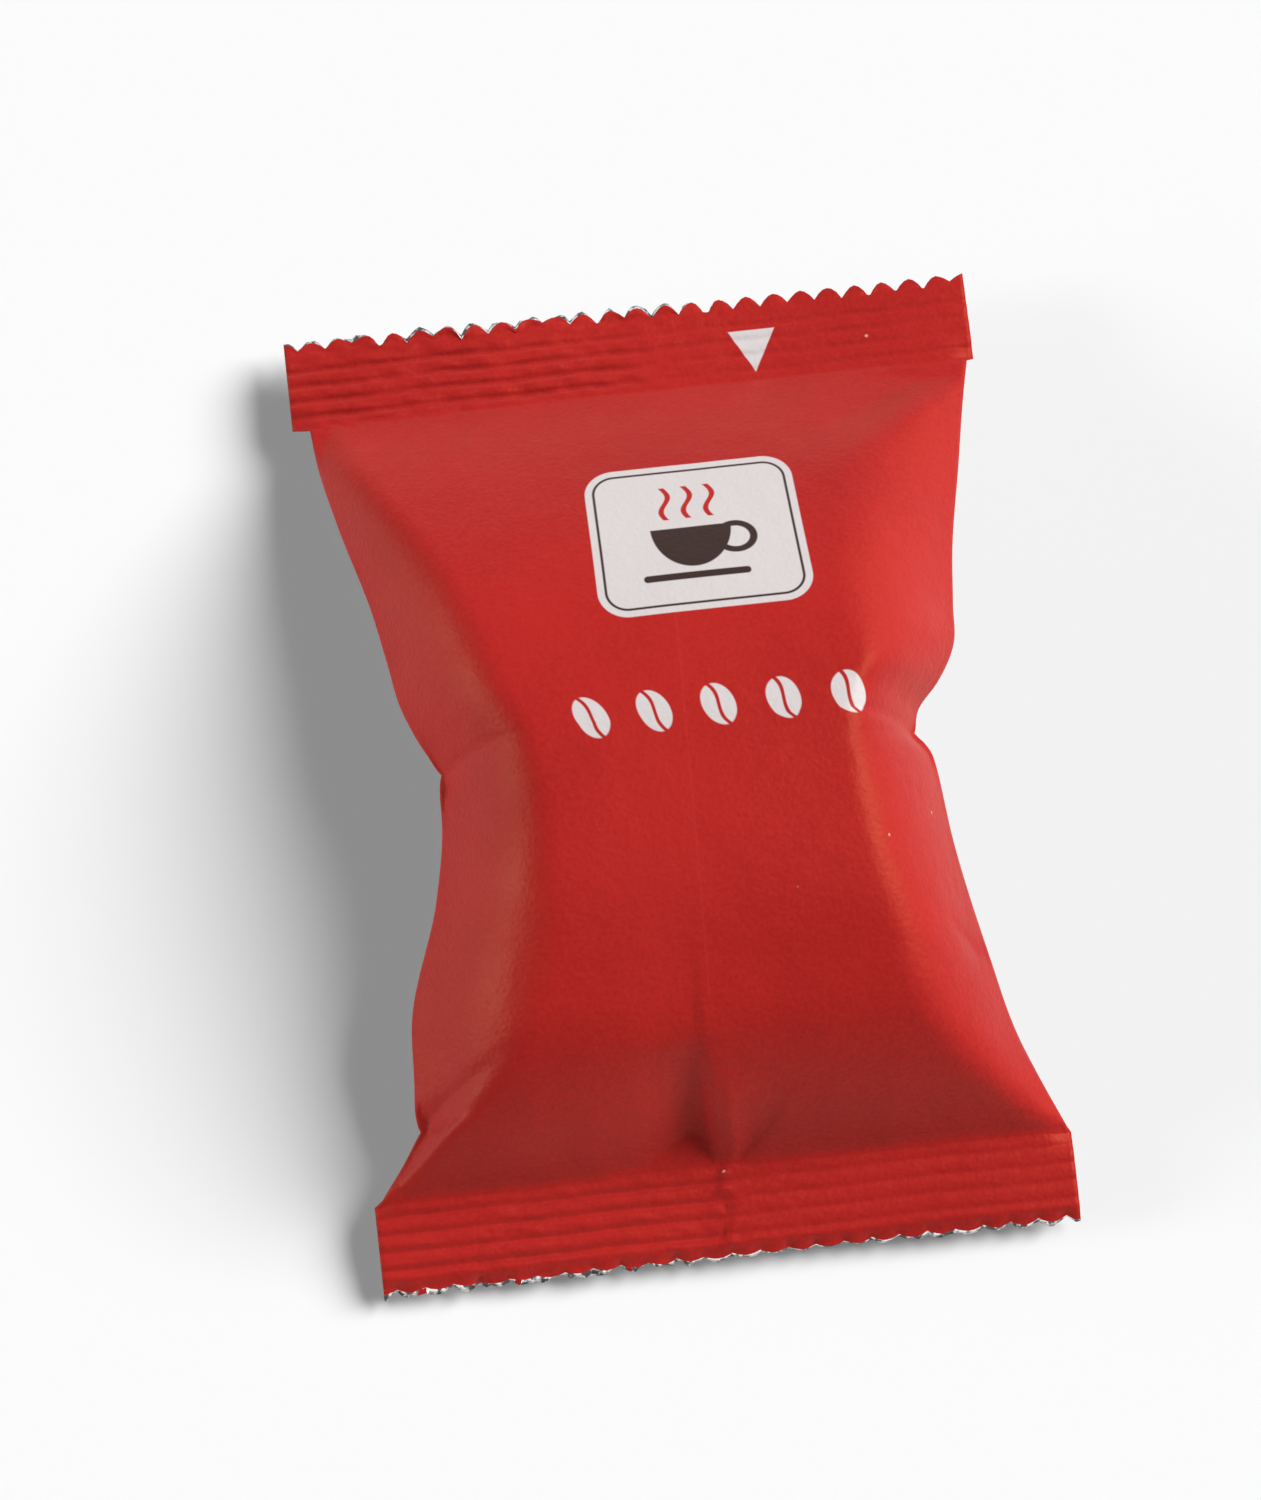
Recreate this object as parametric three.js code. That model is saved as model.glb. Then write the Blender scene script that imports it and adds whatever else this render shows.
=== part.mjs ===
import * as THREE from 'three';
import { LoftGeometry } from 'three/addons/geometries/LoftGeometry.js';

// Single-serve coffee pod sealed in its own film sachet, lying on its back.
// Millimetres. X across the sachet, +Y towards the top seal, +Z out of the front.

// Flat film tube and its two crimped end seals
const filmWidth = 75;
const packLength = 106;
const bottomSealLength = 9.2;
const topSealLength = 9.9;
const sealThickness = 0.5;

// Zigzag cut along each end. The bottom teeth bend down, so they look shorter from above.
const toothCount = 25;
const bottomToothDepth = 0.7;
const topToothDepth = 1.1;
const bottomToothDrop = 0.8;

// Crimp grooves running across the seals
const crimpCount = 4;
const crimpDepth = 0.4;
const bottomCrimpPitch = 1.8;
const topCrimpPitch = 1.8;
const bottomCutMargin = 1.5;
const topCutMargin = 2.3;

// Body drawn in around the pod
const waistWidth = 51.6;
const bodyHeight = 30;
const sideEdgeHeight = 14.8;
const bottomSealHeight = 5;
const topSealHeight = 6;
const bottomCutHeight = 3;
const topCutHeight = 5;

// Lengthwise lap seal down the back, folded flat towards +X
const lapWidth = 10;
const lapThickness = 0.4;

// Shape of the body along its length, hand set at a few places. "at" runs from the bottom
// seal (-1) to the top seal (1). leftIn and rightIn say how far each side is drawn in from
// the flat width (0) to the waist (1). leftFlat and rightFlat are the share of the local
// half width that stays flat on the front. front and back are shares of the full bulge.
const bodyPlan = [
  { at: -1.0, leftIn: 0.05, rightIn: 0.02, leftFlat: 0.94, rightFlat: 0.94, front: 0.0, back: 0.0 },
  { at: -0.88, leftIn: 0.37, rightIn: 0.23, leftFlat: 0.88, rightFlat: 0.84, front: 0.48, back: 0.4 },
  { at: -0.77, leftIn: 0.46, rightIn: 0.4, leftFlat: 0.74, rightFlat: 0.79, front: 0.77, back: 0.72 },
  { at: -0.57, leftIn: 0.53, rightIn: 0.59, leftFlat: 0.64, rightFlat: 0.79, front: 0.93, back: 1.0 },
  { at: -0.3, leftIn: 0.86, rightIn: 0.79, leftFlat: 0.67, rightFlat: 0.78, front: 1.0, back: 1.08 },
  { at: -0.08, leftIn: 1.0, rightIn: 0.89, leftFlat: 0.72, rightFlat: 0.79, front: 1.0, back: 1.08 },
  { at: 0.05, leftIn: 0.98, rightIn: 1.0, leftFlat: 0.76, rightFlat: 0.83, front: 0.99, back: 1.08 },
  { at: 0.11, leftIn: 0.87, rightIn: 0.78, leftFlat: 0.77, rightFlat: 0.82, front: 0.97, back: 1.07 },
  { at: 0.2, leftIn: 0.7, rightIn: 0.58, leftFlat: 0.78, rightFlat: 0.78, front: 0.93, back: 1.04 },
  { at: 0.31, leftIn: 0.66, rightIn: 0.53, leftFlat: 0.78, rightFlat: 0.76, front: 0.87, back: 0.99 },
  { at: 0.45, leftIn: 0.58, rightIn: 0.47, leftFlat: 0.79, rightFlat: 0.76, front: 0.76, back: 0.88 },
  { at: 0.7, leftIn: 0.32, rightIn: 0.29, leftFlat: 0.86, rightFlat: 0.78, front: 0.48, back: 0.54 },
  { at: 0.88, leftIn: 0.17, rightIn: 0.16, leftFlat: 0.92, rightFlat: 0.86, front: 0.21, back: 0.22 },
  { at: 1.0, leftIn: 0.08, rightIn: 0.06, leftFlat: 0.94, rightFlat: 0.94, front: 0.0, back: 0.0 },
];

// Places along the body where the loft has a ring, closer where the film bends more
const ringPlaces = [-0.96, -0.91, -0.85, -0.79, -0.72, -0.62, -0.48, -0.32, -0.16, -0.03,
  0.06, 0.11, 0.18, 0.3, 0.46, 0.64, 0.8, 0.91, 0.97];

// Creases in the front film. Each runs between two places given as shares of the half
// width and half body length, with its depth and half width in millimetres.
const frontCreases = [
  { from: [-0.62, 0.04], to: [-0.5, -0.06], depth: 1.0, spread: 3.0 },
  { from: [0.72, 0.05], to: [0.42, -0.1], depth: 1.0, spread: 3.0 },
  { from: [-0.03, -0.76], to: [-0.05, -1.0], depth: 1.4, spread: 2.6 },
  { from: [0.27, -0.8], to: [0.1, -1.0], depth: 1.0, spread: 2.6 },
  { from: [0.8, 0.9], to: [0.4, 0.62], depth: 0.9, spread: 3.2 },
];

const film = new THREE.MeshStandardMaterial({ color: 0xb3282b, roughness: 0.42, metalness: 0 });

const halfWidth = filmWidth / 2;
const halfLength = packLength / 2;
const bodyBottom = -halfLength + bottomSealLength;
const bodyTop = halfLength - topSealLength;
const columns = 2 * toothCount;
const frontRise = bodyHeight - sideEdgeHeight - sealThickness / 2;

// Smooth curves through the body plan, one value for each column of it
const planKeys = ['leftIn', 'rightIn', 'leftFlat', 'rightFlat', 'front', 'back'];
const planCurves = new THREE.CubicInterpolant(
  bodyPlan.map((row) => row.at),
  bodyPlan.flatMap((row) => planKeys.map((key) => row[key])),
  planKeys.length,
  new Array(planKeys.length),
);

function bodyShape(at) {
  const values = planCurves.evaluate(at);
  return Object.fromEntries(planKeys.map((key, index) => [key, values[index]]));
}

// Lesser of two values with the corner between them rounded off
function softMin(a, b, softness) {
  const blend = THREE.MathUtils.clamp(0.5 + (b - a) / (2 * softness), 0, 1);
  return THREE.MathUtils.lerp(b, a, blend) - softness * blend * (1 - blend);
}

// Height of the film across one half of a section, 1 on the flat and 0 at the side edge
function bulge(across, flatShare) {
  const cornerSoftness = 0.5;
  const crownDip = 0.04;
  const crown = 1 - crownDip * across * across;
  const flank = (1 - across) / (1 - flatShare);
  return Math.max(0, softMin(crown, flank, cornerSoftness));
}

function edgeHeight(at) {
  const sealHeight = at < 0 ? bottomSealHeight : topSealHeight;
  return THREE.MathUtils.lerp(sideEdgeHeight, sealHeight, at * at);
}

function creaseDepth(x, y) {
  const point = new THREE.Vector3(x, y, 0);
  const middle = (bodyTop + bodyBottom) / 2;
  const halfBody = (bodyTop - bodyBottom) / 2;
  let depth = 0;
  for (const crease of frontCreases) {
    const [start, end] = [crease.from, crease.to].map(
      ([across, along]) => new THREE.Vector3(across * halfWidth, middle + along * halfBody, 0),
    );
    const nearest = new THREE.Line3(start, end).closestPointToPoint(point, true, new THREE.Vector3());
    depth += crease.depth * Math.exp(-((nearest.distanceTo(point) / crease.spread) ** 2));
  }
  return depth;
}

// Share across the film, from -1 at the left edge to 1 at the right edge
function acrossShares() {
  return Array.from({ length: columns + 1 }, (unused, column) => (2 * column) / columns - 1);
}

// Closed ring of points: over the front from left to right, then back underneath
function ring(frontPoint, backPoint) {
  const shares = acrossShares();
  return [...shares.map(frontPoint), ...shares.reverse().map(backPoint)];
}

// Turns a share of the film into a share of the width: the film between is shared out
// evenly over the flat and the flank, so a steep flank takes more of it
function unrolled(share, width, flatShare, rise) {
  const flat = width * flatShare;
  const flank = Math.hypot(width - flat, rise);
  const along = Math.abs(share) * (flat + flank);
  const across = along < flat ? along : THREE.MathUtils.mapLinear(along, flat, flat + flank, flat, width);
  return across / width;
}

function lapStep(x) {
  return x > lapWidth ? lapThickness : 0;
}

// One face of a body section, from the share of the film to the point on it
function bodyFace(at, bulgeHeight) {
  const shape = bodyShape(at);
  const y = THREE.MathUtils.mapLinear(at, -1, 1, bodyBottom, bodyTop);
  const pulled = (filmWidth - waistWidth) / 2;
  return (share) => {
    const onLeft = share < 0;
    const width = halfWidth - pulled * (onLeft ? shape.leftIn : shape.rightIn);
    const flatShare = onLeft ? shape.leftFlat : shape.rightFlat;
    const across = unrolled(share, width, flatShare, bulgeHeight(shape));
    const rise = bulgeHeight(shape) * bulge(across, flatShare);
    return { x: Math.sign(share) * across * width, y, rise };
  };
}

function bodyRing(at) {
  const edge = edgeHeight(at);
  const frontFace = bodyFace(at, (shape) => frontRise * shape.front);
  const backFace = bodyFace(at, (shape) => sideEdgeHeight * shape.back);
  const front = (share) => {
    const { x, y, rise } = frontFace(share);
    const crease = Math.min(creaseDepth(x, y), rise / 2);
    return new THREE.Vector3(x, y, edge + sealThickness / 2 + rise - crease);
  };
  const back = (share) => {
    const { x, y, rise } = backFace(share);
    return new THREE.Vector3(x, y, Math.max(0, edge - sealThickness / 2 - rise) + lapStep(x));
  };
  return ring(front, back);
}

// Ring of a seal: a thin flat strip. tooth moves every second point along to cut the zigzag.
function sealRing(y, height, thickness = sealThickness, tooth = 0) {
  const point = (share, side) => {
    const column = Math.round(((share + 1) / 2) * columns);
    const cut = column % 2 === 0 ? 0 : tooth;
    return new THREE.Vector3(share * halfWidth, y + cut, height + (side * thickness) / 2);
  };
  return ring((share) => point(share, 1), (share) => point(share, -1));
}

// Rings from the cut end of a seal in to the body. The first has no thickness and closes
// the cut, and the rest follow the crimp wave from ridge to groove and back.
function sealRings({ cutY, bodyY, cutHeight, bodySideHeight, margin, pitch, tooth, toothDrop }) {
  const inwards = Math.sign(bodyY - cutY);
  const tipHeight = cutHeight - toothDrop;
  const heightAt = (y) => THREE.MathUtils.mapLinear(y, cutY, bodyY, cutHeight, bodySideHeight);
  const rings = [0, sealThickness].map((thickness) => sealRing(cutY, tipHeight, thickness, inwards * tooth));
  for (let step = 0; step <= 2 * crimpCount; step++) {
    const y = cutY + inwards * (margin + (step * pitch) / 2);
    const groove = step % 2 === 1 ? crimpDepth : 0;
    rings.push(sealRing(y, heightAt(y) - groove));
  }
  rings.push(sealRing(bodyY, bodySideHeight));
  return rings;
}

function sachetGeometry() {
  const bottom = sealRings({
    cutY: -halfLength,
    bodyY: bodyBottom,
    cutHeight: bottomCutHeight,
    bodySideHeight: bottomSealHeight,
    margin: bottomCutMargin,
    pitch: bottomCrimpPitch,
    tooth: bottomToothDepth,
    toothDrop: bottomToothDrop,
  });
  const top = sealRings({
    cutY: halfLength,
    bodyY: bodyTop,
    cutHeight: topCutHeight,
    bodySideHeight: topSealHeight,
    margin: topCutMargin,
    pitch: topCrimpPitch,
    tooth: topToothDepth,
    toothDrop: 0,
  });
  const body = ringPlaces.map(bodyRing);
  return new LoftGeometry([...bottom, ...body, ...top.reverse()], { closed: true });
}

const sachet = new THREE.Mesh(sachetGeometry(), film);
sachet.name = 'sealed_pod_sachet';

const coffeePod = new THREE.Group();
coffeePod.add(sachet);

export default coffeePod;
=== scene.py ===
import math
import bmesh
import bpy
import numpy as np
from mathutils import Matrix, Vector, noise


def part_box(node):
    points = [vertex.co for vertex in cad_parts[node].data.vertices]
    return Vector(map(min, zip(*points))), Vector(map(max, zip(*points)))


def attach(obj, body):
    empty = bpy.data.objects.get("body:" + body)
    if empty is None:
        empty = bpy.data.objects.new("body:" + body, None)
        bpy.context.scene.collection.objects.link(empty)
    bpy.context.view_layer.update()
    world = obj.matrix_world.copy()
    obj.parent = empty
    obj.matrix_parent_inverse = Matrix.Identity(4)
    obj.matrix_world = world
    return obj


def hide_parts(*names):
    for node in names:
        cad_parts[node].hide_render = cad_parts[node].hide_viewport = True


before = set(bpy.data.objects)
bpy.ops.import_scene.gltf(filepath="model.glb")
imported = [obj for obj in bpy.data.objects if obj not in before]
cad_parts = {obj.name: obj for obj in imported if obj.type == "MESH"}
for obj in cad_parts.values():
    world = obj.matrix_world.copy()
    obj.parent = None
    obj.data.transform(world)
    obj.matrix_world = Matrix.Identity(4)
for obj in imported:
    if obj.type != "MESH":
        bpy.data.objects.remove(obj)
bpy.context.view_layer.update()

# A coffee pod in its film sachet, lying on its back. Sizes below are in millimetres.
mm = 0.001
solidNode = "sealed_pod_sachet"
nodeLow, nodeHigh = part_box(solidNode)
filmWidth = (nodeHigh[0] - nodeLow[0]) / mm
packLength = (nodeHigh[1] - nodeLow[1]) / mm
bodyHeight = (nodeHigh[2] - nodeLow[2]) / mm

sachet = {
    "columns": 150,            # across each face, a whole number to each tooth
    "rows": 256,
    "sealShare": 0.36,         # each seal takes this share of half the rows
    "filmThickness": 0.34,
    "bottomSealLength": 9.2,
    "topSealLength": 9.9,
    "waistWidth": 51.6,
    "sideEdgeHeight": 14.8,
    "bottomSealHeight": 5.0,
    "topSealHeight": 6.0,
    "bottomCutHeight": 3.0,
    "topCutHeight": 5.0,
    "crownDip": 0.04,          # share of the bulge that the front and back lose towards the sides
    "backCorner": 0.5,
    "lapWidth": 10.0,          # lap seal down the back, folded towards +X
    "lapThickness": 0.3,
    "lapEdge": 0.2,            # half the width of the step at the lap's edge
}

# Body from the bottom seal (-1) to the top seal (1). The sides are drawn in from the flat
# width (0) to the waist (1). The flats are shares of the local half width, the corners say
# how far the film rounds over from front to flank, and the front and back are shares of the
# full bulge.
bodyPlan = {
    "at": [-1.0, -0.88, -0.77, -0.57, -0.3, -0.08, 0.05, 0.11, 0.2, 0.31, 0.45, 0.7, 0.88, 1.0],
    "leftIn": [0.05, 0.37, 0.46, 0.53, 0.86, 0.99, 0.94, 0.84, 0.72, 0.65, 0.56, 0.33, 0.2, 0.16],
    "rightIn": [0.02, 0.23, 0.4, 0.59, 0.79, 0.88, 0.96, 0.77, 0.58, 0.53, 0.47, 0.29, 0.16, 0.06],
    "leftFlat": [0.94, 0.88, 0.74, 0.64, 0.67, 0.72, 0.76, 0.77, 0.78, 0.8, 0.83, 0.89, 0.93, 0.94],
    "rightFlat": [0.94, 0.84, 0.79, 0.79, 0.78, 0.79, 0.83, 0.82, 0.78, 0.76, 0.76, 0.78, 0.86, 0.94],
    "leftCorner": [0.5, 0.45, 0.42, 0.46, 0.52, 0.6, 0.68, 0.72, 0.78, 0.84, 0.88, 0.88, 0.75, 0.6],
    "rightCorner": [0.5, 0.55, 0.6, 0.7, 0.75, 0.75, 0.75, 0.75, 0.75, 0.75, 0.75, 0.7, 0.6, 0.6],
    "front": [0.0, 0.48, 0.77, 0.93, 1.0, 1.0, 0.99, 0.97, 0.93, 0.87, 0.76, 0.48, 0.21, 0.0],
    "back": [0.0, 0.4, 0.72, 1.0, 1.08, 1.08, 1.08, 1.07, 1.04, 0.99, 0.88, 0.54, 0.22, 0.0],
}

# Sharp pinches in the side edges: which side, how far along, how deep and how wide
pinches = [
    {"name": "left waist", "side": -1, "y": 0.1, "depth": 0.7, "spread": 1.0},
    {"name": "right waist", "side": 1, "y": -1.0, "depth": 0.9, "spread": 1.0},
    {"name": "left foot", "side": -1, "y": -37.0, "depth": 0.9, "spread": 1.3},
]

# Folds in the front film: where each starts and ends, how deep it is there (below zero it
# stands up as a ridge), and how far it reaches to the two sides, first to the left of the
# way from start to end. The more round a fold is, the less it comes to a sharp line along
# its middle, and a one-sided fold drops away on the right of its way only.
folds = [
    {"name": "left waist", "start": (-27.2, 1.4), "end": (-21.7, -5.3),
     "depth": (2.8, 0.3), "spread": (0.8, 2.2)},
    {"name": "right waist", "start": (27.2, -0.9), "end": (17.5, -4.4),
     "depth": (2.4, 0.1), "spread": (2.2, 0.8)},
    {"name": "left foot", "start": (-32.8, -36.9), "end": (-22.6, -32.2),
     "depth": (2.2, 0.3), "spread": (1.1, 2.6)},
    {"name": "foot hollow", "start": (-1.0, -33.0), "end": (-0.4, -44.5),
     "depth": (0.3, 7.0), "spread": (0.4, 2.2), "oneSided": True},
    {"name": "foot bump", "start": (1.0, -36.0), "end": (1.2, -44.0),
     "depth": (-0.2, -1.5), "spread": (1.6, 1.0), "round": 0.4},
    {"name": "foot right", "start": (5.6, -40.0), "end": (0.8, -43.9),
     "depth": (0.4, 2.2), "spread": (0.6, 1.6)},
    {"name": "shoulder hollow", "start": (34.5, 42.0), "end": (14.0, 32.0),
     "depth": (1.6, 0.1), "spread": (1.9, 3.2), "round": 0.9},
    {"name": "shoulder ridge", "start": (36.4, 40.0), "end": (15.0, 24.6),
     "depth": (-0.7, -0.1), "spread": (2.2, 2.2), "round": 1.2},
    {"name": "left ear", "start": (-36.4, 43.6), "end": (-31.5, 37.0),
     "depth": (1.0, 0.1), "spread": (1.0, 2.0)},
    {"name": "side dent", "start": (26.6, -22.9), "end": (29.0, -25.3),
     "depth": (0.3, 1.0), "spread": (0.9, 0.9)},
]
usualRound = 0.2               # for a fold that says nothing else
foldStart = 1.0                # folds are full where the film stands this far off the side edge
foldLimit = 0.8                # a fold takes at most this share of the bulge where it lies
leastRise = 1e-6               # keeps the flank's length above zero where the bulge ends

# Unevenness of the film and its seals. Each wave has a height, a length and its own place in
# the noise, and across or along below 1 draws its bumps out that way.
waves = {
    "front slow": {"height": 0.22, "length": 11.0, "place": 3.1},
    "front small": {"height": 0.05, "length": 4.5, "place": 7.7},
    "front narrow pucker": {"height": 0.22, "length": 3.6, "place": 12.4, "along": 0.22},
    "front broad pucker": {"height": 0.4, "length": 8.0, "place": 5.2, "along": 0.3},
    "back slow": {"height": 0.3, "length": 10.0, "place": 21.3},
    "back pucker": {"height": 0.6, "length": 5.0, "place": 33.0, "along": 0.25},
    "crimp wander": {"height": 0.22, "length": 9.0, "place": 2.2},
    "crimp strength": {"height": 0.5, "length": 7.0, "place": 8.8},
    "crumple": {"height": 0.16, "length": 0.8, "place": 9.4, "across": 0.4},
    "seal bow": {"height": 0.6, "length": 17.0, "place": 17.5, "along": 0.3},
    "seam wander": {"height": 0.9, "length": 1.5, "place": 3.3, "across": 0.0},
    "seam pinch": {"height": 1.0, "length": 0.9, "place": 5.5},
    "tooth size": {"height": 0.9, "length": 2.6, "place": 1.9},
    "tooth curl": {"height": 0.3, "length": 1.7, "place": 6.6},
    "foil edge": {"height": 1.6, "length": 1.0, "place": 4.4},
}

# Where the film lies loose enough for its waves to show: how far it has to stand off the
# side edges, and how far the puckers reach in from the seals as a share of half the body
looseness = {
    "lift": 3.0,
    "frontReach": 0.16,
    "backReach": 0.2,
    "restLift": (11.0, 14.0),  # the back goes smooth between these, where it lies on the table
}


def planCurve(key, at):
    # Smooth curve through the values of one row of the body plan
    places = np.array(bodyPlan["at"])
    values = np.array(bodyPlan[key])
    slopes = np.gradient(values, places)
    index = np.clip(np.searchsorted(places, at) - 1, 0, len(places) - 2)
    span = places[index + 1] - places[index]
    t = (at - places[index]) / span
    rise = values[index] * (1 + 2 * t) * (1 - t) ** 2 + values[index + 1] * t ** 2 * (3 - 2 * t)
    return rise + span * t * (1 - t) * (slopes[index] * (1 - t) - slopes[index + 1] * t)


def softMin(a, b, softness):
    blend = np.clip(0.5 + (b - a) / (2 * softness), 0, 1)
    return b + (a - b) * blend - softness * blend * (1 - blend)


def smoothStep(value, low, high):
    t = np.clip((value - low) / (high - low), 0, 1)
    return t * t * (3 - 2 * t)


def levels(x, start, changes):
    # A level that starts on the left and changes by so much between two places
    return start + sum(change * smoothStep(x, low, high) for change, low, high in changes)


def wave(name, x, y):
    # One soft random value for each point, the same in every run
    plan = waves[name]
    across = x * plan.get("across", 1.0) / plan["length"]
    along = y * plan.get("along", 1.0) / plan["length"]
    values = [noise.noise(Vector((a, b, plan["place"]))) for a, b in zip(across, along)]
    return plan["height"] * np.array(values)


def distanceToLine(x, y, start, end):
    # Distance from a line, its share of the way along, and whether it is left of that way
    dx, dy = end[0] - start[0], end[1] - start[1]
    along = np.clip(((x - start[0]) * dx + (y - start[1]) * dy) / (dx * dx + dy * dy), 0, 1)
    onLeft = dx * (y - start[1]) - dy * (x - start[0]) > 0
    return np.hypot(x - start[0] - along * dx, y - start[1] - along * dy), along, onLeft


def foldDepth(x, y):
    total = np.zeros_like(x)
    for fold in folds:
        distance, along, onLeft = distanceToLine(x, y, fold["start"], fold["end"])
        depth = fold["depth"][0] + (fold["depth"][1] - fold["depth"][0]) * along
        reach = np.where(onLeft, fold["spread"][0], fold["spread"][1])
        blunt = fold.get("round", usualRound)
        shape = np.exp(-(np.sqrt(distance ** 2 + blunt ** 2) - blunt) / reach)
        if fold.get("oneSided"):
            shape = np.where(onLeft, 0, distance / reach * np.exp(1 - distance / reach))
        total += depth * shape
    return total


def sectionAcross(share, width, flat, rise, softness):
    # Share of the film turned into a share of the width, and the height of the bulge there
    flatLength = width * flat
    flank = np.hypot(width - flatLength, rise)
    along = np.abs(share) * (flatLength + flank)
    onFlank = flatLength + (along - flatLength) / flank * (width - flatLength)
    across = np.where(along < flatLength, along, onFlank) / width
    crown = 1 - sachet["crownDip"] * across ** 2
    height = softMin(crown, (1 - across) / (1 - flat), softness)
    return across, np.maximum(0, height)


def bodySurface(share, y, side):
    # Film over the pod: side is 1 on the front and -1 on the back
    bottom = -packLength / 2 + sachet["bottomSealLength"]
    top = packLength / 2 - sachet["topSealLength"]
    at = np.clip(np.interp(y, [bottom, top], [-1, 1]), -1, 1)
    onLeft = share < 0
    drawnIn = np.where(onLeft, planCurve("leftIn", at), planCurve("rightIn", at))
    width = filmWidth / 2 - drawnIn * (filmWidth - sachet["waistWidth"]) / 2
    for pinch in pinches:
        onSide = np.sign(share) == pinch["side"]
        width -= onSide * pinch["depth"] * np.exp(-np.abs(y - pinch["y"]) / pinch["spread"])
    flat = np.where(onLeft, planCurve("leftFlat", at), planCurve("rightFlat", at))
    sealHeight = np.where(at < 0, sachet["bottomSealHeight"], sachet["topSealHeight"])
    edge = sachet["sideEdgeHeight"] + (sealHeight - sachet["sideEdgeHeight"]) * at ** 2
    half = sachet["filmThickness"] / 2
    if side > 0:
        rise = (bodyHeight - sachet["sideEdgeHeight"] - half) * planCurve("front", at)
        softness = np.where(onLeft, planCurve("leftCorner", at), planCurve("rightCorner", at))
    else:
        rise = sachet["sideEdgeHeight"] * planCurve("back", at)
        softness = sachet["backCorner"]
    across, height = sectionAcross(share, width, flat, np.maximum(rise, leastRise), softness)
    x = np.sign(share) * across * width
    lift = rise * height
    if side > 0:
        fold = np.minimum(foldDepth(x, y) * smoothStep(lift, 0.0, foldStart), lift * foldLimit)
        z = edge + half + lift - fold + frontWaves(x, y, at, lift)
    else:
        z = np.maximum(0, edge - half - lift + backWaves(x, y, at, lift)) + lapStep(x)
    return x, z


def nearSeals(at, reach):
    return np.exp(-(1 - np.abs(at)) / reach)


def frontWaves(x, y, at, lift):
    # Slow unevenness of the film, and puckers that run in from the two seals
    loose = smoothStep(lift, 0.0, looseness["lift"])
    slow = wave("front slow", x, y) + wave("front small", x, y)
    pucker = wave("front narrow pucker", x, y) + wave("front broad pucker", x, y)
    return loose * (slow + nearSeals(at, looseness["frontReach"]) * pucker)


def backWaves(x, y, at, lift):
    offRest = 1 - smoothStep(lift, *looseness["restLift"])
    loose = smoothStep(lift, 0.0, looseness["lift"]) * offRest
    pucker = nearSeals(at, looseness["backReach"]) * wave("back pucker", x, y)
    return loose * (wave("back slow", x, y) + pucker)


def lapStep(x):
    edge, half = sachet["lapWidth"], sachet["lapEdge"]
    return sachet["lapThickness"] * smoothStep(x, edge - half, edge + half)


# Grooves pressed across the two end seals. Levels are a start and then changes from left to
# right, as in the function of that name.
crimps = {
    "count": 4,
    "depth": 0.42,
    "bottomPitch": 1.85,
    "topPitch": 1.8,
    "bottomMargin": 1.3,
    "topMargin": 2.4,
    "sharpness": 2.4,          # above 1 the valleys are narrower than the ridges
    "wanderPlace": 40.0,
    "strength": (1.0, [(-0.6, -6.0, 4.0)]),
    "crumple": (1.0, [(-0.75, -2.0, 14.0)]),
    "topCrumple": 1.6,         # the top seal is crumpled this many times as much
}

# Step in the end seals over the edges of the lap, and the turned-down corners beside the body
seam = {
    "bottomX": -0.2,
    "topX": sachet["lapWidth"],
    "bottomStep": 0.3,
    "topStep": -0.09,
    "before": 0.6,             # the step starts this far before the line and ends that far after
    "after": 0.2,
    "pinchHalf": 0.5,
    "bottomPinch": 0.6,
    "topPinch": 0.15,
    "cornerDrop": 0.9,
    "cornerReach": 1.6,
}

# Zigzag cut at both ends, and the foil side of the back layer that shows past the front one
teeth = {
    "count": 25,
    "topDepth": 1.15,
    "bottomDepth": 0.4,        # the bottom teeth bend down, so they look short from above
    "bottomDrop": 0.8,
    "sharpness": 1.8,          # above 1 the tips are rounder than the notches
    "reach": 1.5,              # how far in from the cut the teeth still pull the film
    "foilStep": 0.42,          # the back layer stands out past the front one by this much
    "foilShare": 0.8,          # and by this share of it where the wave of its edge is level
    "bottomFoil": (1.0, [(-0.75, -4.0, 4.0), (0.35, 13.0, 17.0)]),
    "topFoil": (0.8, [(-0.6, 2.0, 12.0)]),
}


def sealHeightAt(y):
    places = [-packLength / 2, -packLength / 2 + sachet["bottomSealLength"],
              packLength / 2 - sachet["topSealLength"], packLength / 2]
    heights = [sachet["bottomCutHeight"], sachet["bottomSealHeight"],
               sachet["topSealHeight"], sachet["topCutHeight"]]
    return np.interp(y, places, heights)


def crimpWave(x, fromCut, atTop):
    # Grooves across a seal: narrow valleys between broader ridges, deeper on the left half
    pitch = np.where(atTop, crimps["topPitch"], crimps["bottomPitch"])
    margin = np.where(atTop, crimps["topMargin"], crimps["bottomMargin"])
    wander = wave("crimp wander", x, np.where(atTop, crimps["wanderPlace"], -crimps["wanderPlace"]))
    phase = (fromCut + wander - margin) / pitch
    inZone = (phase > 0) & (phase < crimps["count"])
    groove = (0.5 - 0.5 * np.cos(2 * math.pi * phase)) ** crimps["sharpness"]
    strength = levels(x, *crimps["strength"]) * (1 + wave("crimp strength", x, fromCut))
    return np.where(inZone, -crimps["depth"] * strength * groove, 0)


def seamStep(x, y, atTop):
    line = np.where(atTop, seam["topX"], seam["bottomX"]) + wave("seam wander", x, y)
    height = np.where(atTop, seam["topStep"], seam["bottomStep"])
    step = height * smoothStep(x, line - seam["before"], line + seam["after"])
    pinch = np.exp(-((x - line) / seam["pinchHalf"]) ** 2) * wave("seam pinch", x, y)
    return step + np.where(atTop, seam["topPinch"], seam["bottomPinch"]) * pinch


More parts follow.
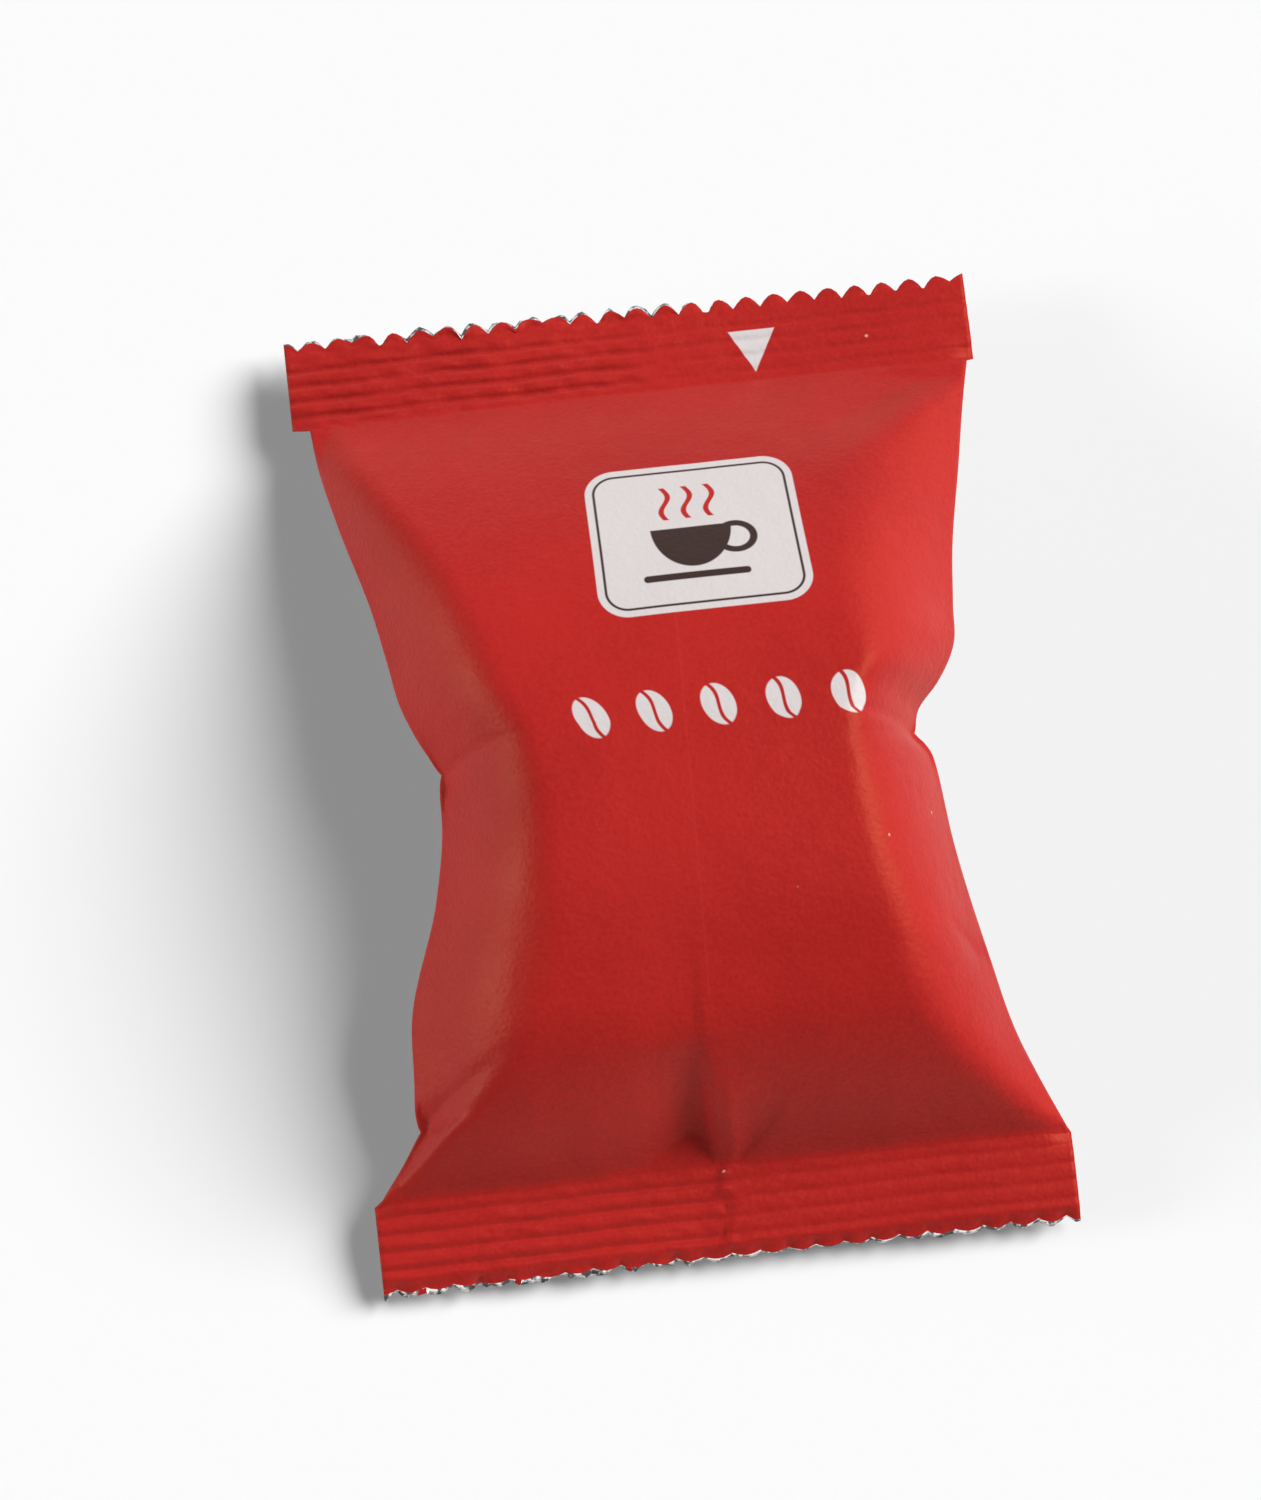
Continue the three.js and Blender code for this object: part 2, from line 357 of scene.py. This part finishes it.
def sealSurface(share, y, side):
    x = share * filmWidth / 2
    atTop = y > 0
    fromCut = packLength / 2 - np.abs(y)
    z = sealHeightAt(y) + side * sachet["filmThickness"] / 2 + crimpWave(x, fromCut, atTop)
    crumpled = levels(x, *crimps["crumple"]) * np.where(atTop, crimps["topCrumple"], 1.0)
    z += crumpled * wave("crumple", x, y) + wave("seal bow", x, y) + seamStep(x, y, atTop)
    sealLength = np.where(atTop, sachet["topSealLength"], sachet["bottomSealLength"])
    corner = np.hypot(np.abs(x) - filmWidth / 2, fromCut - sealLength)
    return x, z - seam["cornerDrop"] * np.exp(-(corner / seam["cornerReach"]) ** 2)


def toothedCut(x, y, side):
    # Zigzag along the cut: how far a point near the end moves in along the film, and its lift
    fromCut = packLength / 2 - np.abs(y)
    pitch = filmWidth / teeth["count"]
    phase = np.mod((x + filmWidth / 2) / pitch, 1.0)
    notch = (1 - np.abs(2 * phase - 1)) ** teeth["sharpness"]
    hold = 1 - smoothStep(fromCut, 0.0, teeth["reach"])
    depth = np.where(y > 0, teeth["topDepth"], teeth["bottomDepth"])
    inward = depth * (1 + wave("tooth size", x, y)) * notch * hold
    if side < 0:
        shown = np.where(y > 0, levels(x, *teeth["topFoil"]), levels(x, *teeth["bottomFoil"]))
        uneven = teeth["foilShare"] + wave("foil edge", x, y)
        inward = inward - teeth["foilStep"] * hold * shown * uneven
    lift = hold * wave("tooth curl", x, y) - np.where(y > 0, 0, teeth["bottomDrop"] * hold)
    return -np.sign(y) * inward, lift


def alongFilm(place):
    # The rows lie closer together in the seals, where the crimps are fine
    half = packLength / 2
    inBody = 1 - sachet["sealShare"]
    ends = [-half, -half + sachet["bottomSealLength"], half - sachet["topSealLength"], half]
    return np.interp(place, [-1, -inBody, inBody, 1], ends)


def filmSurface(grid, side):
    # The flat film, as places from -1 to 1 across and along, laid over the pod
    share, y = grid[:, 0], alongFilm(grid[:, 1])
    bottom = -packLength / 2 + sachet["bottomSealLength"]
    top = packLength / 2 - sachet["topSealLength"]
    inBody = (y > bottom) & (y < top)
    bodyX, bodyZ = bodySurface(share, y, side)
    sealX, sealZ = sealSurface(share, y, side)
    x = np.where(inBody, bodyX, sealX)
    z = np.where(inBody, bodyZ, sealZ)
    shift, lift = toothedCut(x, y, side)
    return np.stack([x, y + shift, z + lift], axis=1)


printScale = 0.12              # metres of film to one unit of the print map


def addFilmFace(mesh, side):
    # One face of the sachet: a flat sheet of quads, then every point taken to its place
    columns, rows = sachet["columns"], sachet["rows"]
    verts = bmesh.ops.create_grid(mesh, x_segments=columns, y_segments=rows, size=1.0)["verts"]
    grid = np.array([vert.co[:] for vert in verts])
    placed = filmSurface(grid, side) * mm
    flat = np.stack([grid[:, 0] * filmWidth / 2, alongFilm(grid[:, 1])], axis=1) * mm
    for vert, point in zip(verts, placed):
        vert.co = point
    faces = list({face for vert in verts for face in vert.link_faces})
    if side < 0:
        bmesh.ops.reverse_faces(mesh, faces=faces)
    return faces, {vert: place for vert, place in zip(verts, flat)}


def layPrintMap(mesh, faces, flat):
    # The map holds each point's place on the flat film, so that the print isn't stretched
    layer = mesh.loops.layers.uv.verify()
    for face in faces:
        for loop in face.loops:
            loop[layer].uv = flat[loop.vert] / printScale + 0.5


def makeSachet(materials):
    # Front, back and the walls that join their rims. The materials are the front film, the
    # back film and the foil side, which shows on the walls at the two cut ends.
    mesh = bmesh.new()
    frontFaces, frontFlat = addFilmFace(mesh, 1)
    backFaces, backFlat = addFilmFace(mesh, -1)
    rims = [edge for edge in mesh.edges if edge.is_boundary]
    walls = bmesh.ops.bridge_loops(mesh, edges=rims)["faces"]
    layPrintMap(mesh, frontFaces, frontFlat)
    layPrintMap(mesh, backFaces, backFlat)
    for face in mesh.faces:
        face.smooth = True
    for face in backFaces:
        face.material_index = 1
    endReach = (packLength / 2 - 2 * teeth["topDepth"]) * mm
    for face in walls:
        atEnd = abs(face.calc_center_median().y) > endReach
        face.material_index = 2 if atEnd else 0
    print("sachet", len(mesh.faces), "faces")
    return pieceFrom(mesh, "sachet_film", materials)


def pieceFrom(mesh, name, materials):
    data = bpy.data.meshes.new(name)
    mesh.to_mesh(data)
    mesh.free()
    piece = bpy.data.objects.new(name, data)
    bpy.context.collection.objects.link(piece)
    for material in materials:
        data.materials.append(material)
    return piece


# Materials
class NodeBench:
    # Short ways to add and join the nodes of one material
    def __init__(self, name):
        self.material = bpy.data.materials.new(name)
        self.material.use_nodes = True
        self.tree = self.material.node_tree
        self.shader = self.tree.nodes["Principled BSDF"]

    def add(self, kind, **settings):
        node = self.tree.nodes.new(kind)
        for key, value in settings.items():
            setattr(node, key, value)
        return node

    def join(self, source, target):
        self.tree.links.new(source, target)

    def feed(self, socket, value):
        if isinstance(value, bpy.types.NodeSocket):
            self.join(value, socket)
        else:
            socket.default_value = value

    def setShader(self, values):
        for name, value in values.items():
            self.feed(self.shader.inputs[name], value)

    def math(self, operation, *values):
        node = self.add("ShaderNodeMath", operation=operation)
        for socket, value in zip(node.inputs, values):
            self.feed(socket, value)
        return node.outputs[0]

    def plus(self, a, b):
        return self.math("ADD", a, b)

    def minus(self, a, b):
        return self.math("SUBTRACT", a, b)

    def times(self, a, b):
        return self.math("MULTIPLY", a, b)

    def most(self, a, b):
        return self.math("MAXIMUM", a, b)

    def least(self, a, b):
        return self.math("MINIMUM", a, b)

    def band(self, value, middle, half):
        # Signed distance to the stretch that lies within half of the middle
        return self.minus(self.math("ABSOLUTE", self.minus(value, middle)), half)

    def mix(self, amount, first, second):
        node = self.add("ShaderNodeMix", data_type="RGBA")
        self.feed(node.inputs["Factor"], amount)
        colours = [socket for socket in node.inputs if socket.type == "RGBA"]
        for socket, value in zip(colours, (first, second)):
            self.feed(socket, value if isinstance(value, bpy.types.NodeSocket) else (*value, 1.0))
        return [socket for socket in node.outputs if socket.type == "RGBA"][0]

    def noise(self, vector, scale, detail=2.0, roughness=0.5):
        node = self.add("ShaderNodeTexNoise")
        self.join(vector, node.inputs["Vector"])
        node.inputs["Scale"].default_value = scale
        node.inputs["Detail"].default_value = detail
        node.inputs["Roughness"].default_value = roughness
        return node.outputs["Fac"]

    def remap(self, value, low, high, toLow=0.0, toHigh=1.0):
        node = self.add("ShaderNodeMapRange")
        for socket, item in zip(node.inputs, (value, low, high, toLow, toHigh)):
            self.feed(socket, item)
        return node.outputs[0]

    def inside(self, distance):
        # 1 where a signed distance in millimetres is below zero, with a soft printed edge
        soft = printPlan["softEdge"]
        return self.remap(distance, soft, -soft)

    def bump(self, height, distance, strength=1.0):
        node = self.add("ShaderNodeBump")
        node.inputs["Strength"].default_value = strength
        node.inputs["Distance"].default_value = distance
        self.join(height, node.inputs["Height"])
        return node.outputs[0]


# Print on the front, and a painted highlight along a faint crease, in millimetres on the flat film
printPlan = {
    "centreX": 4.4,            # the print sits right of the middle of the film
    "panelY": 21.5,
    "panelHalf": (11.2, 9.6),
    "panelCorner": 3.2,
    "keyline": 0.28,
    "keylineInset": 0.9,
    "triangleX": 13.65,
    "triangleY": (44.1, 49.0),
    "triangleSlope": 0.52,
    "softEdge": 0.07,
    "paintedCreaseHighlightX": 0.7,           # faint crease left in the film by the folding of the web, drawn only as a lighter painted line: painted highlight
    "paintedCreaseHighlightY": -8.0,
    "paintedCreaseHighlightHalf": (0.13, 21.0),
    "paintedCreaseHighlightLean": 0.024,
    "paintedCreaseHighlightShow": 0.16,
}

beans = {
    "y": 0.8,
    "pitch": 7.0,
    "count": 5,
    "radii": (1.7, 2.5),
    "tilt": 28.0,
    "slitHalf": 0.2,
    "slitBend": 0.32,
    "slitTurns": 1.1,          # radians of the bend to a millimetre of the bean
}

# A plain cup on its saucer under three wisps of steam, placed from the middle of the panel
cup = {
    "bowlAt": (-0.6, 1.0),
    "bowlRadii": (4.3, 5.2),
    "rimY": 0.9,
    "handleAt": (4.0, -0.9),
    "handleRadii": (1.9, 1.7),
    "handleHalf": 0.36,
    "saucerAt": (-0.6, -5.3),
    "saucerHalf": (5.6, 0.42),
    "saucerCorner": 0.4,
    "steamAt": (-0.6, 4.3),
    "wispCount": 3,
    "wispPitch": 2.4,
    "wispHalf": (0.3, 2.2),
    "wispSwing": 0.45,
    "wispTurns": 1.5,
}


def turned(bench, x, y, angle):
    c, s = math.cos(math.radians(angle)), math.sin(math.radians(angle))
    across = bench.plus(bench.times(x, c), bench.times(y, s))
    up = bench.minus(bench.times(y, c), bench.times(x, s))
    return across, up


def offset(bench, x, y, centre):
    return bench.minus(x, centre[0]), bench.minus(y, centre[1])


def lengthOf(bench, a, b):
    return bench.math("SQRT", bench.plus(bench.times(a, a), bench.times(b, b)))


def ellipse(bench, x, y, radii):
    # About the distance to the edge of an ellipse round the origin
    a, b = bench.math("DIVIDE", x, radii[0]), bench.math("DIVIDE", y, radii[1])
    return bench.times(bench.minus(lengthOf(bench, a, b), 1.0), min(radii))


def roundedBox(bench, x, y, half, corner):
    a = bench.most(bench.minus(bench.math("ABSOLUTE", x), half[0] - corner), 0.0)
    b = bench.most(bench.minus(bench.math("ABSOLUTE", y), half[1] - corner), 0.0)
    return bench.minus(lengthOf(bench, a, b), corner)


def sineBend(bench, value, turns, height):
    return bench.times(bench.math("SINE", bench.times(value, turns)), height)


def repeated(bench, x, pitch, count):
    # The width folded into one pitch, so that one shape is drawn count times in a row
    fromStart = bench.plus(x, pitch * count / 2)
    return bench.minus(bench.math("FLOORED_MODULO", fromStart, pitch), pitch / 2)


def beanRow(bench, x, y):
    # White beans, each with a thin slit
    rowX, rowY = offset(bench, x, y, (printPlan["centreX"], beans["y"]))
    inPitch = repeated(bench, rowX, beans["pitch"], beans["count"])
    beanX, beanY = turned(bench, inPitch, rowY, beans["tilt"])
    bean = bench.inside(ellipse(bench, beanX, beanY, beans["radii"]))
    bend = sineBend(bench, beanY, beans["slitTurns"], beans["slitBend"])
    slit = bench.inside(bench.band(beanX, bend, beans["slitHalf"]))
    halfRow = beans["pitch"] * beans["count"] / 2
    inRow = bench.math("LESS_THAN", bench.math("ABSOLUTE", rowX), halfRow)
    return bench.times(bench.times(bean, bench.minus(1.0, slit)), inRow)


def cupSign(bench, x, y):
    bowl = ellipse(bench, *offset(bench, x, y, cup["bowlAt"]), cup["bowlRadii"])
    bowl = bench.most(bowl, bench.minus(y, cup["rimY"]))
    ring = ellipse(bench, *offset(bench, x, y, cup["handleAt"]), cup["handleRadii"])
    handle = bench.band(ring, 0.0, cup["handleHalf"])
    saucerX, saucerY = offset(bench, x, y, cup["saucerAt"])
    saucer = roundedBox(bench, saucerX, saucerY, cup["saucerHalf"], cup["saucerCorner"])
    ink = bench.least(bench.least(bowl, handle), saucer)
    swing = sineBend(bench, y, cup["wispTurns"], cup["wispSwing"])
    wispX = bench.minus(bench.minus(x, cup["steamAt"][0]), swing)
    inPitch = repeated(bench, wispX, cup["wispPitch"], cup["wispCount"])
    wisps = bench.most(bench.band(inPitch, 0.0, cup["wispHalf"][0]),
                       bench.band(y, cup["steamAt"][1], cup["wispHalf"][1]))
    steam = bench.most(wisps, bench.band(wispX, 0.0, cup["wispPitch"] * cup["wispCount"] / 2))
    return bench.inside(ink), bench.inside(steam)


def paintedCreaseHighlight(bench, x, y):
    # Lighter line painted along a faint crease in the film: a painted highlight, not a fold in the
    # shape
    leaning = bench.minus(x, bench.times(y, printPlan["paintedCreaseHighlightLean"]))
    across, along = printPlan["paintedCreaseHighlightHalf"]
    line = bench.most(bench.band(leaning, printPlan["paintedCreaseHighlightX"], across),
                      bench.band(y, printPlan["paintedCreaseHighlightY"], along))
    return bench.times(bench.inside(line), printPlan["paintedCreaseHighlightShow"])


def printedColour(bench, film):
    # Everything printed on the front, and the painted highlight along the crease, over the red of the
    # film
    parts = bench.add("ShaderNodeSeparateXYZ")
    bench.join(bench.add("ShaderNodeUVMap").outputs[0], parts.inputs[0])
    x, y = [bench.times(bench.minus(part, 0.5), printScale / mm) for part in parts.outputs[:2]]
    panelX, panelY = offset(bench, x, y, (printPlan["centreX"], printPlan["panelY"]))
    panel = roundedBox(bench, panelX, panelY, printPlan["panelHalf"], printPlan["panelCorner"])
    keyline = bench.inside(bench.band(panel, -printPlan["keylineInset"], printPlan["keyline"] / 2))
    ink, steam = cupSign(bench, panelX, panelY)
    low, high = printPlan["triangleY"]
    slope = bench.times(bench.minus(y, low), printPlan["triangleSlope"])
    triangle = bench.most(bench.band(x, printPlan["triangleX"], slope), bench.minus(y, high))
    white = bench.most(bench.inside(panel), bench.inside(triangle))
    white = bench.most(white, beanRow(bench, x, y))
    # painted highlight along the faint crease
    film = bench.mix(paintedCreaseHighlight(bench, x, y), film, filmLook["creaseHighlightRed"])
    colour = bench.mix(white, film, filmLook["white"])
    colour = bench.mix(bench.most(keyline, ink), colour, filmLook["ink"])
    return bench.mix(steam, colour, filmLook["red"])


# Film and foil. Scales are bumps to a metre, depths are metres, and a range is the stretch of
# the noise that is spread over the two colours or roughnesses. The radii of the dust are
# shares of a cell.
filmLook = {
    "red": (0.452, 0.0175, 0.0165),
    "deepRed": (0.385, 0.0135, 0.0140),
    # lighter red of the painted highlight along the crease
    "creaseHighlightRed": (0.560, 0.040, 0.042),
    "white": (0.660, 0.610, 0.610),
    "dust": (0.62, 0.36, 0.30),
    "ink": (0.035, 0.022, 0.022),
    "roughness": (0.43, 0.51),
    "specular": 0.2,
    "sheenTint": (1.0, 0.52, 0.22, 1.0),
    "sheenWeight": 0.08,
    "sheenRoughness": 0.4,
    "grainScale": 1900.0,
    "grainShare": 0.5,         # height of the grain against that of the waves
    "waveScale": 420.0,
    "cloudScale": 45.0,
    "cloudShare": 0.6,         # the rest of the red's variation is the fine grain
    "blotchRange": (0.40, 0.62),
    "scuffScale": 160.0,
    "scuffRange": (0.3, 0.7),
    "grainDepth": 0.0002,
    "bumpStrength": 0.6,
    "dustScale": 190.0,
    "dustFrom": 0.86,          # only cells whose random value is above this have a speck
    "dustRadii": (0.045, 0.02),
}

foilLook = {
    # the dark colour is painted reflection: patches of the crinkled foil that mirror dark, set into
    # its colour
    "paintedDarkReflection": (0.09, 0.08, 0.08),
    "bright": (0.86, 0.85, 0.84),
    "roughness": 0.25,
    "crinkleScale": 1500.0,
    "crinkleRange": (0.44, 0.58),
    "crinkleDepth": 0.0002,
}


def dustSpecks(bench, place):
    # A few pale specks: the middles of some cells, far fewer than there are cells
    cells = bench.add("ShaderNodeTexVoronoi")
    bench.join(place, cells.inputs["Vector"])
    cells.inputs["Scale"].default_value = filmLook["dustScale"]
    pick = bench.add("ShaderNodeSeparateColor")
    bench.join(cells.outputs["Color"], pick.inputs[0])
    chosen = bench.math("GREATER_THAN", pick.outputs[0], filmLook["dustFrom"])
    return bench.times(chosen, bench.remap(cells.outputs["Distance"], *filmLook["dustRadii"]))


def filmMaterial(name, printed):
    # Satin laminate: red under a fine grain, faintly cloudy, with a soft warm sheen
    bench = NodeBench(name)
    place = bench.add("ShaderNodeTexCoord").outputs["Object"]
    clouds = bench.noise(place, filmLook["cloudScale"], detail=3.0)
    fine = bench.noise(place, filmLook["grainScale"], detail=1.0)
    cloudShare = filmLook["cloudShare"]
    blotch = bench.plus(bench.times(clouds, cloudShare), bench.times(fine, 1 - cloudShare))
    shade = bench.remap(blotch, *filmLook["blotchRange"])
    film = bench.mix(shade, filmLook["red"], filmLook["deepRed"])
    colour = printedColour(bench, film) if printed else film
    scuffs = bench.noise(place, filmLook["scuffScale"], detail=4.0, roughness=0.6)
    grain = bench.times(fine, filmLook["grainShare"])
    height = bench.plus(grain, bench.noise(place, filmLook["waveScale"]))
    bench.setShader({
        "Base Color": bench.mix(dustSpecks(bench, place), colour, filmLook["dust"]),
        "Roughness": bench.remap(scuffs, *filmLook["scuffRange"], *filmLook["roughness"]),
        "Normal": bench.bump(height, filmLook["grainDepth"], filmLook["bumpStrength"]),
        "Specular IOR Level": filmLook["specular"],
        "Specular Tint": filmLook["sheenTint"],
        "Sheen Weight": filmLook["sheenWeight"],
        "Sheen Roughness": filmLook["sheenRoughness"],
        "Sheen Tint": filmLook["sheenTint"],
    })
    return bench.material


def foilMaterial():
    # Bright metallised inside of the laminate, seen along the cut. Dark patches are painted into its
    # metal colour by a noise: painted dark reflections of the crinkles, over a real crinkle bump
    bench = NodeBench("foil inside")
    place = bench.add("ShaderNodeTexCoord").outputs["Object"]
    crinkle = bench.noise(place, foilLook["crinkleScale"])
    shade = bench.remap(crinkle, *foilLook["crinkleRange"])
    bench.setShader({
        # painted reflections: dark patches mixed into the bright metal colour
        "Base Color": bench.mix(shade, foilLook["paintedDarkReflection"], foilLook["bright"]),
        "Metallic": 1.0,
        "Roughness": foilLook["roughness"],
        "Normal": bench.bump(crinkle, foilLook["crinkleDepth"]),
    })
    return bench.material


# Floor, light and camera
studio = {
    "floorSize": 3.0,
    "floorColour": (0.915, 0.915, 0.915),
    "floorRoughness": 0.9,
    "keyStrength": 3.8,
    "keyFrom": (0.74, 0.18, 0.64),
    "keyAngle": 36.0,
    "fillStrength": 1.8,
    "fillFrom": (-0.97, 0.10, 0.16),
    "fillAngle": 28.0,
    "skyStrength": 0.19,
}

view = {
    "azimuth": -6.36,
    "elevation": 75.4,
    "distance": 0.8974,
    "target": (-0.004886, 0.00195, 0.010),
    "focalLength": 200.0,
}


def makeFloor():
    mesh = bmesh.new()
    bmesh.ops.create_grid(mesh, x_segments=1, y_segments=1, size=studio["floorSize"] / 2)
    bench = NodeBench("pale floor")
    bench.setShader({
        "Base Color": (*studio["floorColour"], 1.0),
        "Roughness": studio["floorRoughness"],
        "Specular IOR Level": 0.0,
    })
    floor = pieceFrom(mesh, "floor", [bench.material])


def addSun(name, strength, direction, angle):
    light = bpy.data.lights.new(name, "SUN")
    light.energy = strength
    light.angle = math.radians(angle)
    lamp = bpy.data.objects.new(name, light)
    lamp.rotation_euler = Vector(direction).to_track_quat("Z", "Y").to_euler()
    bpy.context.collection.objects.link(lamp)


def makeSky():
    # White to the camera, in gloss and through glass, and a soft level of light on everything
    world = bpy.data.worlds.new("studio")
    bpy.context.scene.world = world
    world.use_nodes = True
    tree = world.node_tree
    background = tree.nodes["Background"]
    background.inputs["Color"].default_value = (1.0, 1.0, 1.0, 1.0)
    path = tree.nodes.new("ShaderNodeLightPath")
    strength = tree.nodes.new("ShaderNodeMapRange")
    strength.inputs["To Min"].default_value = studio["skyStrength"]
    strength.inputs["To Max"].default_value = 1.0
    seen = path.outputs["Is Camera Ray"]
    for ray in ("Is Glossy Ray", "Is Transmission Ray"):
        either = tree.nodes.new("ShaderNodeMath")
        either.operation = "MAXIMUM"
        tree.links.new(seen, either.inputs[0])
        tree.links.new(path.outputs[ray], either.inputs[1])
        seen = either.outputs[0]
    tree.links.new(seen, strength.inputs["Value"])
    tree.links.new(strength.outputs[0], background.inputs["Strength"])


def makeCamera():
    data = bpy.data.cameras.new("photo view")
    data.lens = view["focalLength"]
    camera = bpy.data.objects.new("photo view", data)
    azimuth, elevation = math.radians(view["azimuth"]), math.radians(view["elevation"])
    level = math.cos(elevation)
    back = Vector((math.sin(azimuth) * level, -math.cos(azimuth) * level, math.sin(elevation)))
    camera.location = Vector(view["target"]) + back * view["distance"]
    camera.rotation_euler = back.to_track_quat("Z", "Y").to_euler()
    bpy.context.collection.objects.link(camera)
    bpy.context.scene.camera = camera


makeCamera()
makeFloor()
addSun("key light", studio["keyStrength"], studio["keyFrom"], studio["keyAngle"])
addSun("fill light", studio["fillStrength"], studio["fillFrom"], studio["fillAngle"])
makeSky()
bpy.context.scene.view_settings.view_transform = "Standard"
print("studio ready")

film = filmMaterial("printed film", True)
backFilm = filmMaterial("plain film", False)
sachetPiece = makeSachet([film, backFilm, foilMaterial()])
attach(sachetPiece, "root")
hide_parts(solidNode)
sachetPiece.visible_diffuse = False    # the red film casts its shadow but no red glow on the floor
print("sachet in place")
